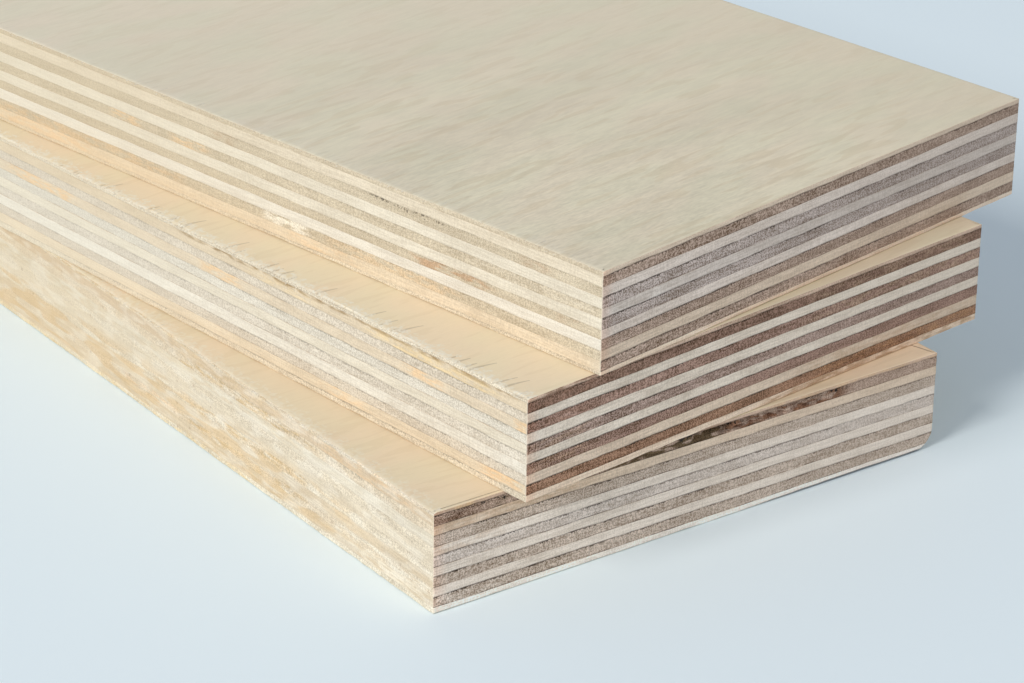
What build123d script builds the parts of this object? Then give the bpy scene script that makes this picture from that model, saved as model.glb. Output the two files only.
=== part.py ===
from build123d import *
import os

# A fanned stack of three sheets of birch plywood, sawn to narrow strips.
#
# Each sheet is a lay-up of eleven rotary-cut veneers that are glued face to face, every one
# with its grain at right angles to its neighbours' grain. The outer two are sanded thinner
# than the rest. The sheets lie loose, each one shifted and turned a little on the one below.
#
# The origin is the centre of the bottom sheet's underside. +X runs along the sheets towards
# their near ends, +Y runs across their width and +Z is up. Sizes are in millimetres and turns
# are in degrees, anticlockwise as seen from above.

# Length that all three sheets are cut to.
SHEET_LENGTH = 300.0

# Width of each sheet across its sawn end.
BOTTOM_WIDTH = 87.0
MIDDLE_WIDTH = 88.0
TOP_WIDTH = 88.0

# Thickness of each sheet's veneers, from its face veneer down to its back veneer.
BOTTOM_VENEERS = (0.50, 1.53, 1.37, 1.66, 1.38, 1.63, 1.40, 1.61, 1.38, 1.62, 0.92)
MIDDLE_VENEERS = (0.54, 1.54, 1.40, 1.57, 1.50, 1.47, 1.40, 1.60, 1.47, 1.50, 1.01)
TOP_VENEERS = (0.70, 1.52, 1.48, 1.60, 1.43, 1.59, 1.38, 1.60, 1.48, 1.54, 0.68)

# How far the near corner of each upper sheet lies from the near corner of the sheet below it,
# along X and along Y, and how far the sheet is turned from the sheet below it.
MIDDLE_SHIFT_ALONG = 4.40
MIDDLE_SHIFT_ACROSS = 11.55
MIDDLE_ANGLE = 6.40
TOP_SHIFT_ALONG = -0.20
TOP_SHIFT_ACROSS = 11.85
TOP_ANGLE = 3.65


def veneer(width, thickness):
    """A flat veneer that reaches from its near corner, at the origin, towards -X and +Y."""
    outline = Rectangle(SHEET_LENGTH, width, align=(Align.MAX, Align.MIN))
    return extrude(outline, amount=thickness)


def veneer_role(ply, ply_count):
    """What a veneer does in its sheet. Plies are counted from the face down."""
    if ply == 1:
        return "face"
    if ply == ply_count:
        return "back"
    if ply % 2 == 0:
        return "crossband"
    return "longband"


def build_sheet(name, width, veneers, near_corner, turn):
    """Lays up one sheet from its back veneer to its face veneer, with a node for each veneer.

    near_corner is where the near corner of the sheet's underside lies. The height of the
    sheet's upper face is returned, for the next sheet to rest on.
    """
    height = near_corner.Z
    ply_count = len(veneers)
    for ply in range(ply_count, 0, -1):
        thickness = veneers[ply - 1]
        place = Pos(near_corner.X, near_corner.Y, height) * Rot(Z=turn)
        piece = place * veneer(width, thickness)
        node = f"{name}_sheet_ply_{ply:02d}_{veneer_role(ply, ply_count)}"
        export_step(piece, f"parts/{node}.step")
        height += thickness
    return height


os.makedirs("parts", exist_ok=True)

bottom_corner = Vector(SHEET_LENGTH / 2, -BOTTOM_WIDTH / 2, 0.0)
bottom_face = build_sheet("bottom", BOTTOM_WIDTH, BOTTOM_VENEERS, bottom_corner, 0.0)

middle_corner = Vector(
    bottom_corner.X + MIDDLE_SHIFT_ALONG,
    bottom_corner.Y + MIDDLE_SHIFT_ACROSS,
    bottom_face,
)
middle_face = build_sheet("middle", MIDDLE_WIDTH, MIDDLE_VENEERS, middle_corner, MIDDLE_ANGLE)

top_corner = Vector(
    middle_corner.X + TOP_SHIFT_ALONG,
    middle_corner.Y + TOP_SHIFT_ACROSS,
    middle_face,
)
top_face = build_sheet("top", TOP_WIDTH, TOP_VENEERS, top_corner, MIDDLE_ANGLE + TOP_ANGLE)

print(f"stack height {top_face:.2f} mm, sheets {bottom_face:.2f}, "
      f"{middle_face - bottom_face:.2f} and {top_face - middle_face:.2f} mm")
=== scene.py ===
# %% [markdown]
# # A fanned stack of birch plywood
#
# Three narrow strips, sawn from 15 mm birch plywood, lie loose on one another. Each strip is
# eleven veneers thick, and every veneer runs its grain across its neighbours' grain. This
# lesson dresses the exact model of the stack: it puts a sawn, grained piece in the place of
# each veneer, then adds the torn fibres that a saw leaves, the studio and the camera.

# %% Load the exact model
import math
import random

import bmesh
import bpy
from mathutils import Matrix, Vector, noise


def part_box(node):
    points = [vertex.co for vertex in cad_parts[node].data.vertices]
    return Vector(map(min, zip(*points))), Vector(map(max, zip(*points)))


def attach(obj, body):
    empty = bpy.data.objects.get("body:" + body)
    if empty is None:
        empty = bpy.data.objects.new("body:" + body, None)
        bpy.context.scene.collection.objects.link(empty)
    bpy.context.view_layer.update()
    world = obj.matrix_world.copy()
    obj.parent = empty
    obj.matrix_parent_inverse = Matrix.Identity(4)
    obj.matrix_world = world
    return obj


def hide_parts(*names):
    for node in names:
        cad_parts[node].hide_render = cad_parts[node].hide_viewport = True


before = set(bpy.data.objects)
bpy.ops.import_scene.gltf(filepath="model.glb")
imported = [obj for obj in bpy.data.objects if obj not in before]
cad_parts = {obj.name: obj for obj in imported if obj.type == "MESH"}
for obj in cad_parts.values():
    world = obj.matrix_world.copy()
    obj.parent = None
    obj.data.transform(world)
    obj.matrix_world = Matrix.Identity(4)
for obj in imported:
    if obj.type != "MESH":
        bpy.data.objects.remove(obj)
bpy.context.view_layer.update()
print("veneers in the model:", len(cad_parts))

# %% [markdown]
# ## Where each sheet lies
#
# The exact model is the only ruler. Every veneer node is a plain slab, so its corners say
# where its sheet lies: the corner that reaches furthest along +X is the near corner, the
# long side leads away from it along the sheet, and the short side leads across it. Reading
# the place from the slab, and not typing it in again, keeps the dressed pieces on the model
# if a size changes.

# %% Read a sheet's place from one of its slabs
MM = 0.001


class Sheet:
    """A sheet's near corner, its length and width, its turn and the heights of its veneers."""

    def __init__(self, name):
        self.name = name
        self.nodes = sorted(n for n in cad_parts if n.startswith(f"{name}_sheet"))
        points = [v.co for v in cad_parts[self.nodes[0]].data.vertices]
        near = max(points, key=lambda p: (round(p.x, 6), -p.y))
        flat = {(round(p.x, 6), round(p.y, 6)) for p in points}
        others = sorted(math.dist(near.xy, q) for q in flat if math.dist(near.xy, q) > MM)
        self.width, self.length = others[0], others[1]
        far = next(q for q in flat if abs(math.dist(near.xy, q) - self.length) < MM / 10)
        self.turn = math.atan2(near.y - far[1], near.x - far[0])
        self.corner = Vector((near.x, near.y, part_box(self.nodes[-1])[0].z))
        self.place = Matrix.Translation(self.corner) @ Matrix.Rotation(self.turn, 4, "Z")
        self.levels = [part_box(node)[0].z - self.corner.z for node in self.nodes]
        self.levels.insert(0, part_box(self.nodes[0])[1].z - self.corner.z)

    def thickness(self, ply):
        """Thickness of a ply, counted from 1 at the face."""
        return self.levels[ply - 1] - self.levels[ply]


sheets = {name: Sheet(name) for name in ("bottom", "middle", "top")}
for sheet in sheets.values():
    print(f"{sheet.name}: {sheet.length / MM:.0f} x {sheet.width / MM:.0f} mm, "
          f"turned {math.degrees(sheet.turn):.2f} degrees, {len(sheet.nodes)} veneers")

# %% [markdown]
# ## The camera
#
# The stack is seen from low down with a long lens, as in a close product shot. The camera's
# place, tilt and lens were worked out from the corners of the three sheets, which are boxes
# of known size, so the near corners, the far right corners and the fan all fall where the
# photograph has them.

# %% Set up the camera
CAMERA_PLACE = Vector((500.6, -287.2, 240.9)) * MM
CAMERA_HEADING = math.radians(53.88)
CAMERA_TILT_DOWN = math.radians(25.225)
CAMERA_ROLL = math.radians(0.939)
LENS_MM = 131.06

camera_data = bpy.data.cameras.new("camera")
camera_data.lens = LENS_MM
camera_data.sensor_width = 36.0
camera_data.clip_start = 0.01
camera = bpy.data.objects.new("camera", camera_data)
bpy.context.scene.collection.objects.link(camera)
camera.matrix_world = (
    Matrix.Translation(CAMERA_PLACE)
    @ Matrix.Rotation(CAMERA_HEADING, 4, "Z")
    @ Matrix.Rotation(math.radians(90.0) - CAMERA_TILT_DOWN, 4, "X")
    @ Matrix.Rotation(CAMERA_ROLL, 4, "Z")
)
bpy.context.scene.camera = camera
print("camera at", tuple(round(value, 3) for value in CAMERA_PLACE))

# %% [markdown]
# ## Small helpers for materials
#
# A material here is a short chain of nodes. These helpers put a node down, give its sockets
# a number or another node's output, and return the output that the next step needs, so that
# a material reads from top to bottom like a recipe.

# %% Node helpers
def new_material(name):
    """An empty material with its Principled shader, and the tree to add nodes to."""
    material = bpy.data.materials.new(name)
    material.use_nodes = True
    tree = material.node_tree
    return material, tree, tree.nodes["Principled BSDF"]


def feed(tree, node, values):
    """Gives each named socket of a node a constant, or links another node's output to it."""
    for socket, value in values.items():
        if isinstance(value, bpy.types.NodeSocket):
            tree.links.new(value, node.inputs[socket])
        else:
            node.inputs[socket].default_value = value


def put(tree, kind, values, **settings):
    """Adds a node, sets its own properties and feeds its sockets."""
    made = tree.nodes.new(kind)
    for key, setting in settings.items():
        setattr(made, key, setting)
    feed(tree, made, values)
    return made


def calc(tree, operation, first, second=0.0, third=0.0, clamp=False):
    """One step of arithmetic."""
    values = {0: first, 1: second, 2: third}
    return put(tree, "ShaderNodeMath", values, operation=operation, use_clamp=clamp).outputs[0]


def times(tree, first, second, clamp=False):
    """The product of two values."""
    return calc(tree, "MULTIPLY", first, second, clamp=clamp)


def fade(tree, value, start, end):
    """0 at start, 1 at end, with a soft S-shaped change between them."""
    values = {"Value": value, "From Min": start, "From Max": end}
    step = put(tree, "ShaderNodeMapRange", values, interpolation_type="SMOOTHSTEP")
    return step.outputs["Result"]


def fade_out(tree, value, start, end):
    """1 at start, 0 at end, with the same soft change."""
    return calc(tree, "SUBTRACT", 1.0, fade(tree, value, start, end))


def blend(tree, factor, first, second, mode="MIX"):
    """Mixes two colours."""
    values = {"Factor": factor, "A": first, "B": second}
    step = put(tree, "ShaderNodeMix", values, data_type="RGBA", blend_type=mode,
               clamp_result=mode == "MULTIPLY")
    return step.outputs["Result"]


print("helpers ready")

# %% [markdown]
# ## Sawn veneers: the plan
#
# A sheet of plywood is a sandwich of thin peeled veneers. Peeling and pressing leave every
# glue line a little wavy, and the saw leaves each cut edge slightly rough: it polishes the
# fibres that lie along its path and plucks at the ones that it cuts across. A flat slab with
# a picture of lines on it would show none of that when the light comes along the edge, so
# each veneer is remade as its own mesh. It starts as a box, its walls are cut into small
# columns, and the columns are then pushed a few hundredths of a millimetre in, up or down.

# %% Names for the parts of a veneer
FLAT, END_WALL, SIDE_WALL = 0, 1, 2
PITCH = 0.5 * MM
ROWS = 4
RING = 0.60 * MM
PLIES = 11
SEEDS = {"bottom": 11.3, "middle": 23.7, "top": 37.1}


def wall_of(normal):
    """Which wall a face belongs to, from the way it faces in its sheet's own frame."""
    if abs(normal.z) > 0.5:
        return FLAT
    return END_WALL if abs(normal.x) > 0.5 else SIDE_WALL


def is_end_grain(ply, wall):
    """Odd plies run their grain across the sheet, so the saw cuts it on the long sides."""
    return (ply % 2 == 1) == (wall == SIDE_WALL)


for ply in (1, 2):
    print("ply", ply, "end grain on the end:", is_end_grain(ply, END_WALL))

# %% [markdown]
# ## A box with finely divided walls
#
# bmesh's cube is scaled to the veneer, its lid and floor are taken off, and the four walls
# are subdivided along their length, across the sheet and up. Filling the two holes again
# gives a lid and a floor with one big face each, and a narrow inset ring round each of them
# keeps that big face flat when the rim moves. Only the rim needs fine faces, so the mesh
# stays light.

# %% Cut a box into columns
def runs_along(edge, axis):
    """True for an edge that is parallel to an axis."""
    step = edge.verts[1].co - edge.verts[0].co
    return abs(step[axis]) > 0.99 * step.length


def divided_slab(sheet, ply):
    """One veneer in its sheet's own frame, with small faces along its four walls."""
    thickness = sheet.thickness(ply)
    work = bmesh.new()
    bmesh.ops.create_cube(work, size=1.0)
    bmesh.ops.scale(work, vec=(sheet.length, sheet.width, thickness), verts=work.verts)
    centre = (-sheet.length / 2, sheet.width / 2, sheet.levels[ply] + thickness / 2)
    bmesh.ops.translate(work, vec=centre, verts=work.verts)
    work.normal_update()
    for face in work.faces:
        face.material_index = wall_of(face.normal)
        face.smooth = True
    lids = [face for face in work.faces if face.material_index == FLAT]
    bmesh.ops.delete(work, geom=lids, context="FACES_ONLY")
    steps = (round(sheet.length / PITCH), round(sheet.width / PITCH), ROWS)
    for axis, count in enumerate(steps):
        run = [edge for edge in work.edges if runs_along(edge, axis)]
        bmesh.ops.subdivide_edges(work, edges=run, cuts=count - 1, use_grid_fill=True)
    rims = [edge for edge in work.edges if edge.is_boundary]
    lids = bmesh.ops.holes_fill(work, edges=rims, sides=0)["faces"]
    for lid in lids:
        lid.material_index = FLAT
        lid.smooth = True
    bmesh.ops.recalc_face_normals(work, faces=work.faces)
    bmesh.ops.inset_individual(work, faces=lids, thickness=RING, use_even_offset=True)
    for lid in lids:
        lid.smooth = False
    return work


trial = divided_slab(sheets["top"], 1)
print("one veneer has", len(trial.faces), "faces,",
      sum(1 for edge in trial.edges if len(edge.link_faces) != 2), "of its edges are open")

# %% [markdown]
# ## Eased corners
#
# No sawn corner is as sharp as a knife: sanding and handling round it by a tenth of a
# millimetre, and that thin round strip is what catches the light. Bevel cuts it on the four
# upright corners of every veneer and on the rims of the two sanded faces. A rim between two
# veneers stays sharp, because the wood goes on behind it.

# %% Round the corners
ARRIS = 0.12 * MM
TOUCHING = MM / 100


def ease_arrises(work, sheet, ply):
    """Rounds the sheet's four upright corners, and its rims on the two sanded faces."""
    sharp = []
    for edge in work.edges:
        ends = [vert.co for vert in edge.verts]
        at_end = all(min(-co.x, co.x + sheet.length) < RING / 2 for co in ends)
        at_side = all(min(co.y, sheet.width - co.y) < RING / 2 for co in ends)
        on_top = ply == 1 and all(co.z > sheet.levels[0] - TOUCHING for co in ends)
        on_floor = ply == PLIES and all(co.z < TOUCHING for co in ends)
        upright = at_end and at_side and runs_along(edge, 2)
        rim = (on_top or on_floor) and (at_end or at_side)
        if upright or rim:
            sharp.append(edge)
    bmesh.ops.bevel(work, geom=sharp, offset=ARRIS, segments=2, profile=0.5,
                    affect="EDGES", material=-1, clamp_overlap=True)


ease_arrises(trial, sheets["top"], 1)
print("with its corners rounded it has", len(trial.faces), "faces")
trial.free()

# %% [markdown]
# ## How the glue lines wander and how the saw bites
#
# Two smooth noises move the rims. The first lifts and lowers each glue line by up to a tenth
# of a millimetre over a centimetre or so; both veneers that share a line read the same
# noise, so they still meet. The underside's rim is only ever lifted, which leaves a dark,
# broken hairline where one sheet lies on the next. The second noise sets the wall back from
# the model's plane. It is short and deep where fibres are cut across, long and shallow where
# they lie along the wall, and a faint upright ripple, the saw's teeth, crosses all the
# layers. The long side of the bottom sheet was cut by a coarser saw, which tore all its
# layers alike. The saw only ever takes wood away, so nothing stands outside the exact model.

# %% Wander and bite
LONG_SIDE_BITE = {"bottom": 1.9, "middle": 1.3, "top": 1.0}
BACK_LIFT, SLOW_WANDER, QUICK_WANDER = 0.13 * MM, 0.075 * MM, 0.035 * MM
END_GRAIN_BITE, END_GRAIN_LUMPS, END_GRAIN_HOLLOWS = 0.045, 0.03, 0.02
LONG_GRAIN_BITE, LONG_GRAIN_LUMPS = 0.025, 0.025
TOOTH_MARKS = 0.01


def ripple(along, across, up, seed, sizes):
    """Smooth noise from -1 to 1, with lumps of the given sizes in mm."""
    place = Vector((along / sizes[0] / MM, across / sizes[1] / MM, up / sizes[2] / MM + seed))
    return noise.noise(place)


def wander(sheet, level, x, y):
    """How far a glue line strays up or down. The face's rim stays, the back's is lifted."""
    seed = SEEDS[sheet.name] + 5.7 * level
    if level == 0:
        return 0.0
    if level == PLIES:
        return BACK_LIFT * max(0.0, 0.5 + ripple(x, y, 0.0, seed, (4.0, 4.0, 1.0)))
    slow = SLOW_WANDER * ripple(x, y, 0.0, seed, (8.0, 8.0, 1.0))
    quick = QUICK_WANDER * ripple(x, y, 0.0, seed + 40.0, (1.9, 1.9, 1.0))
    return slow + quick


def bite(sheet, ply, wall, along, up):
    """How deep the saw has gone at a spot of a wall, along it and up from the underside."""
    coarse = sheet.name == "bottom" and wall == SIDE_WALL
    seed = SEEDS[sheet.name] + 50.0 * wall + (0.0 if coarse else 3.1 * ply)
    rough = LONG_SIDE_BITE[sheet.name] if wall == SIDE_WALL else 1.0
    teeth = ripple(along, 0.0, up, SEEDS[sheet.name] + wall, (0.9, 1.0, 30.0))
    if coarse or is_end_grain(ply, wall):
        lumps = ripple(along, up, 0.0, seed, (0.8, 0.6, 1.0))
        hollows = ripple(along, up, 0.0, seed + 9.0, (5.0, 2.0, 1.0))
        depth = END_GRAIN_BITE + END_GRAIN_LUMPS * lumps + END_GRAIN_HOLLOWS * hollows
    else:
        lumps = ripple(along, up, 0.0, seed, (5.0, 0.45, 1.0))
        depth = LONG_GRAIN_BITE + LONG_GRAIN_LUMPS * lumps
    return max(0.0, rough * (depth + TOOTH_MARKS * teeth)) * MM


print("typical bite, mm:", [round(bite(sheets["top"], ply, SIDE_WALL, 0.05, 0.01) / MM, 3)
                            for ply in range(1, PLIES + 1)])

# %% [markdown]
# ## Torn edges and the gap in the core
#
# Where a saw leaves a face veneer across its grain it lifts and tears the last fibres. The
# middle sheet shows this all along its upper long edge, the other two only here and there.
# The bottom sheet also has a gap in its second ply, where two strips of veneer were laid
# with a space between them; it shows on the near end as a dark, ragged stretch. Both are
# pushed into the same columns: the rim is lowered and set back unevenly, and the gap is set
# back between the two glue lines, deeper in one spot than in the next. The far part of the
# same end has its lowest edge worn off, so a dark line of shadow shows under it, and its far
# lower corner is knocked round.

# %% Tears and gaps
TEAR_DEPTH = {"bottom": 0.18 * MM, "middle": 0.40 * MM, "top": 0.13 * MM}
TEAR_LIMIT = 0.32 * MM
TEAR_SLOPE = 0.7
CORE_GAPS = (
    {"sheet": "bottom", "ply": 2, "from": 42.0 * MM, "to": 67.0 * MM, "deep": 0.9 * MM},
    {"sheet": "bottom", "ply": 2, "from": 3.2 * MM, "to": 6.4 * MM, "deep": 0.6 * MM},
)
WORN_FLOOR_EDGE = {"sheet": "bottom", "from": 54.0 * MM, "to": 70.0 * MM, "deep": 0.18 * MM}
KNOCKED_CORNER = {"sheet": "bottom", "wide": 8.0 * MM, "long": 6.0 * MM, "high": 2.9 * MM,
                  "deep": 2.2 * MM}


def soft_step(value, start, end):
    """0 below start, 1 above end, smooth between."""
    share = min(1.0, max(0.0, (value - start) / (end - start)))
    return share * share * (3.0 - 2.0 * share)


def tear(sheet, x):
    """How much of the upper long edge is torn off at a place along it."""
    seed = SEEDS[sheet.name] + 90.0
    torn = 0.5 + 0.9 * ripple(x, 0.0, 0.0, seed, (7.0, 1.0, 1.0))
    ragged = 0.8 + 1.2 * ripple(x, 0.0, 0.0, seed + 4.0, (0.75, 1.0, 1.0))
    return min(TEAR_LIMIT, TEAR_DEPTH[sheet.name] * max(0.0, torn) * max(0.0, ragged))


def gap_depth(sheet, ply, y, share):
    """How deep the near end is set back by a gap in the core, share being 0 to 1 up the ply."""
    depth = 0.0
    for gap in CORE_GAPS:
        if gap["sheet"] == sheet.name and gap["ply"] == ply:
            inside = soft_step(y, gap["from"], gap["from"] + 2 * MM)
            inside *= 1.0 - soft_step(y, gap["to"] - 2 * MM, gap["to"])
            place = (y, 1.6 * MM * share, 0.0, SEEDS[sheet.name] + 70.0, (1.3, 0.5, 1.0))
            ragged = max(0.0, 0.35 + 1.5 * ripple(*place))
            depth += gap["deep"] * inside * ragged * (1.0 if 0.1 < share < 0.9 else 0.0)
    return depth


def floor_wear(sheet, ply, y):
    """How far the lowest edge of the near end is worn up off the floor."""
    worn = WORN_FLOOR_EDGE
    if sheet.name != worn["sheet"] or ply != PLIES:
        return 0.0
    return worn["deep"] * soft_step(y, worn["from"], worn["to"])


def knocked_corner(sheet, x, y, z):
    """How far the far lower corner of the near end is pushed in, across the sheet."""
    knock = KNOCKED_CORNER
    if sheet.name != knock["sheet"] or z > knock["high"]:
        return 0.0
    reach = soft_step(y, sheet.width - knock["wide"], sheet.width)
    reach *= 1.0 - soft_step(-x, 0.0, knock["long"])
    return knock["deep"] * reach * (1.0 - z / knock["high"]) ** 2


print("gaps in the core:", len(CORE_GAPS))

# %% [markdown]
# ## Push the rims into shape
#
# All those small moves are added up in one pass over the veneer's vertices. Only the vertices
# on the rim move, so the wide flat faces stay as flat as the exact model has them. Two
# numbers are kept on every vertex, for the materials: how far it is above the glue line below
# it, and how far below the glue line above it. The two far walls read the saw's noise one
# metre further on, so that they don't repeat the near ones.

# %% Shape one veneer
FAR_WALL_SHIFT = 1.0


def shape_rims(work, sheet, ply):
    """Moves the rims of a divided slab, and notes each vertex's distance to the glue lines."""
    rise = work.verts.layers.float.new("rise")
    drop = work.verts.layers.float.new("drop")
    low, high = sheet.levels[ply], sheet.levels[ply - 1]
    for vert in work.verts:
        x, y, z = vert.co
        share = (z - low) / (high - low)
        on_rim = min(-x, x + sheet.length, y, sheet.width - y) < RING / 2
        floor, roof = low, high
        if x > -RING / 2:
            floor += floor_wear(sheet, ply, y)
        if on_rim:
            floor += wander(sheet, ply, x, y)
            roof += wander(sheet, ply - 1, x, y)
            vert.co.z = floor + share * (roof - floor)
            if y < RING / 2:
                vert.co.y += bite(sheet, ply, SIDE_WALL, x, z)
                if ply == 1 and share > 0.5:
                    torn = tear(sheet, x)
                    vert.co.y += torn * (2.0 * share - 1.0)
                    vert.co.z -= TEAR_SLOPE * torn * (2.0 * share - 1.0)
            elif y > sheet.width - RING / 2:
                vert.co.y -= bite(sheet, ply, SIDE_WALL, x + FAR_WALL_SHIFT, z)
            if x > -RING / 2:
                vert.co.x -= bite(sheet, ply, END_WALL, y, z)
                vert.co.x -= gap_depth(sheet, ply, y, share)
            elif x < RING / 2 - sheet.length:
                vert.co.x += bite(sheet, ply, END_WALL, y + FAR_WALL_SHIFT, z)
        vert.co.y -= knocked_corner(sheet, x, y, z)
        vert[rise] = share * (roof - floor) / MM
        vert[drop] = (1.0 - share) * (roof - floor) / MM


trial = divided_slab(sheets["middle"], 1)
shape_rims(trial, sheets["middle"], 1)
print("a torn face veneer starts", round(min(v.co.y for v in trial.verts) / MM, 3),
      "mm behind the model's plane")
trial.free()

# %% [markdown]
# ## Make the veneers
#
# Each veneer is cut, eased, pushed into shape and moved to its sheet's place, where it takes
# the place of its slab in the exact model. The move goes into its mesh, and the object itself
# stays at the origin, because the wood's patterns read their position from there.

# %% Make and place every veneer
CRISP_ANGLE = math.radians(50.0)


def mark_sharp(work):
    """Keeps a crisp line where two faces meet at more than the crisp angle."""
    for edge in work.edges:
        edge.smooth = len(edge.link_faces) == 2 and edge.calc_face_angle() < CRISP_ANGLE


def piece_from(work, name):
    """Makes a finished bmesh into an object at the origin, unturned and unscaled."""
    mesh = bpy.data.meshes.new(name)
    work.to_mesh(mesh)
    work.free()
    piece = bpy.data.objects.new(name, mesh)
    bpy.context.scene.collection.objects.link(piece)
    return piece


def make_veneer(sheet, ply):
    """The finished veneer, in the model's frame, standing for its slab."""
    work = divided_slab(sheet, ply)
    ease_arrises(work, sheet, ply)
    shape_rims(work, sheet, ply)
    bmesh.ops.transform(work, matrix=sheet.place, verts=work.verts)
    work.normal_update()
    mark_sharp(work)
    node = sheet.nodes[ply - 1]
    piece = piece_from(work, f"sawn_{node}")
    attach(piece, "root")
    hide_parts(node)
    return piece


veneers = {}
for sheet in sheets.values():
    for ply in range(1, PLIES + 1):
        veneers[sheet.name, ply] = make_veneer(sheet, ply)
    count = sum(len(veneers[sheet.name, ply].data.polygons) for ply in range(1, PLIES + 1))
    print(f"{sheet.name}: {count} faces in {PLIES} veneers")

# %% [markdown]
# ## Needles of wood
#
# A torn fibre is a thin stiff needle. Needles of real thickness catch the lamp and drop real
# shadows, which a painted line can't. There are hundreds, so each has only five faces: three
# tapering sides and two ends, made by bmesh's cone. They are made a tuft at a time, because
# Blender works faster on small meshes, and the tufts are then added together.

# %% Needles
TUFT = 80
NEEDLE_TIP = 0.15
FACES_PER_NEEDLE = 5


def needle(root, direction, length, thickness):
    """Where one tapering needle starts, how it lies, and its size."""
    direction = direction.normalized()
    turn = direction.to_track_quat("Z", "Y").to_matrix().to_4x4()
    return Matrix.Translation(root + direction * length / 2) @ turn, length, thickness


def plant(work, needles):
    """Makes the needles, a tuft at a time, and adds them to a bmesh."""
    for first in range(0, len(needles), TUFT):
        tuft = bmesh.new()
        for place, length, thickness in needles[first:first + TUFT]:
            bmesh.ops.create_cone(tuft, cap_ends=True, segments=3, radius1=thickness,
                                  radius2=NEEDLE_TIP * thickness, depth=length, matrix=place)
        mesh = bpy.data.meshes.new("tuft")
        tuft.to_mesh(mesh)
        tuft.free()
        work.from_mesh(mesh)
        bpy.data.meshes.remove(mesh)


print("a tuft of", TUFT, "needles has", TUFT * FACES_PER_NEEDLE, "faces")

# %% [markdown]
# ## Torn fibres
#
# Along the torn edges single fibres stick out and fine splinters have lifted off the face. A
# seeded random generator scatters them, so every run draws the same ones, and most of them
# grow where the edge is torn deepest. They are joined into one piece for each sheet, which
# rides with the face veneer it was torn from.

# %% Fibres and splinters
FIBRES = {"bottom": 500, "middle": 1500, "top": 500}
SPLINTERS = {"bottom": 50, "middle": 200, "top": 40}
FIBRE_LENGTH, FIBRE_THICKNESS, FIBRE_DEPTH = (0.15, 0.32), (0.04, 0.085), (0.0, 0.36)
SPLINTER_LENGTH, SPLINTER_THICKNESS = (0.6, 2.2), (0.04, 0.07)


def scatter_fibres(sheet, draw):
    """Short fibres that stick out of the upper long edge, most of them where it is torn."""
    found = []
    for _ in range(FIBRES[sheet.name]):
        x = -sheet.length * draw.random()
        torn = tear(sheet, x)
        if torn < draw.random() * 0.5 * TEAR_DEPTH[sheet.name]:
            continue
        root = Vector((x, 0.05 * MM + torn, sheet.levels[0] - TEAR_SLOPE * torn))
        root.z -= draw.uniform(*FIBRE_DEPTH) * MM
        direction = Vector((draw.gauss(0.0, 0.45), -1.0, draw.gauss(0.15, 0.35)))
        length = draw.uniform(*FIBRE_LENGTH) * MM + 1.4 * torn * draw.random()
        found.append(needle(root, direction, length, draw.uniform(*FIBRE_THICKNESS) * MM))
    return found


def scatter_splinters(sheet, draw):
    """Longer splinters that lie on the face and have lifted a little at the edge."""
    found = []
    for _ in range(SPLINTERS[sheet.name]):
        x = -sheet.length * draw.random()
        if tear(sheet, x) < 0.5 * TEAR_DEPTH[sheet.name]:
            continue
        reach = draw.uniform(*SPLINTER_LENGTH) * MM
        root = Vector((x, reach + 0.1 * MM, sheet.levels[0] + 0.005 * MM))
        direction = Vector((draw.gauss(0.0, 0.05), -1.0, draw.uniform(0.0, 0.05)))
        found.append(needle(root, direction, reach, draw.uniform(*SPLINTER_THICKNESS) * MM))
    return found


def make_torn_edge(sheet):
    """All the torn fibres of one sheet as a single piece."""
    draw = random.Random(f"torn {sheet.name}")
    work = bmesh.new()
    plant(work, scatter_fibres(sheet, draw) + scatter_splinters(sheet, draw))
    bmesh.ops.transform(work, matrix=sheet.place, verts=work.verts)
    piece = piece_from(work, f"{sheet.name}_torn_fibres")
    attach(piece, "root")
    return piece


torn_edges = {sheet.name: make_torn_edge(sheet) for sheet in sheets.values()}
for name, piece in torn_edges.items():
    print(f"{name}: {len(piece.data.polygons) // FACES_PER_NEEDLE} torn fibres")

# %% [markdown]
# ## The colours of birch
#
# Birch is one pale wood, yet a plywood edge looks striped. Fibres that end at the surface
# soak light up and look brown or grey; fibres that lie along it throw light back and look
# cream. The same ply is therefore dark on one edge and light on the other. A short list of
# named tones, each an ordinary 8-bit colour, is shared out over the plies of the three
# sheets. The shader wants linear light, so a helper converts them.

# %% Tones and where they go
TONES = {
    "walnut": (140, 109, 91), "russet": (158, 120, 94), "umber": (158, 126, 109),
    "fudge": (166, 140, 125), "mushroom": (175, 149, 130), "ash": (180, 162, 150),
    "fawn": (207, 177, 153), "driftwood": (196, 176, 158), "pebble": (212, 196, 182),
    "biscuit": (225, 201, 176), "silver": (227, 209, 193), "peach": (242, 215, 188),
    "linen": (231, 214, 194), "chalk": (236, 220, 203), "snow": (255, 243, 229),
    "oat": (207, 192, 166), "caramel": (215, 194, 165), "honey": (218, 200, 172),
    "shell": (215, 202, 182), "wheat": (221, 204, 178), "oyster": (217, 206, 188),
    "cream": (223, 209, 185), "almond": (221, 208, 184), "butter": (227, 210, 183),
    "pearl": (219, 210, 193), "vanilla": (223, 211, 189), "ivory": (226, 215, 194),
    "milk": (230, 221, 204),
}
END_TONES = {
    "top": "biscuit mushroom silver ash pebble ash silver mushroom biscuit mushroom peach",
    "middle": "fawn walnut linen umber linen fudge linen umber biscuit russet peach",
    "bottom": "fawn mushroom biscuit driftwood chalk pebble chalk driftwood chalk driftwood snow",
}
SIDE_TONES = {
    "top": "oat cream oat ivory oat ivory oat milk oat butter cream",
    "middle": "almond honey shell wheat pearl ivory oyster milk shell butter cream",
    "bottom": "cream caramel wheat vanilla cream cream cream honey wheat honey vanilla",
}


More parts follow.
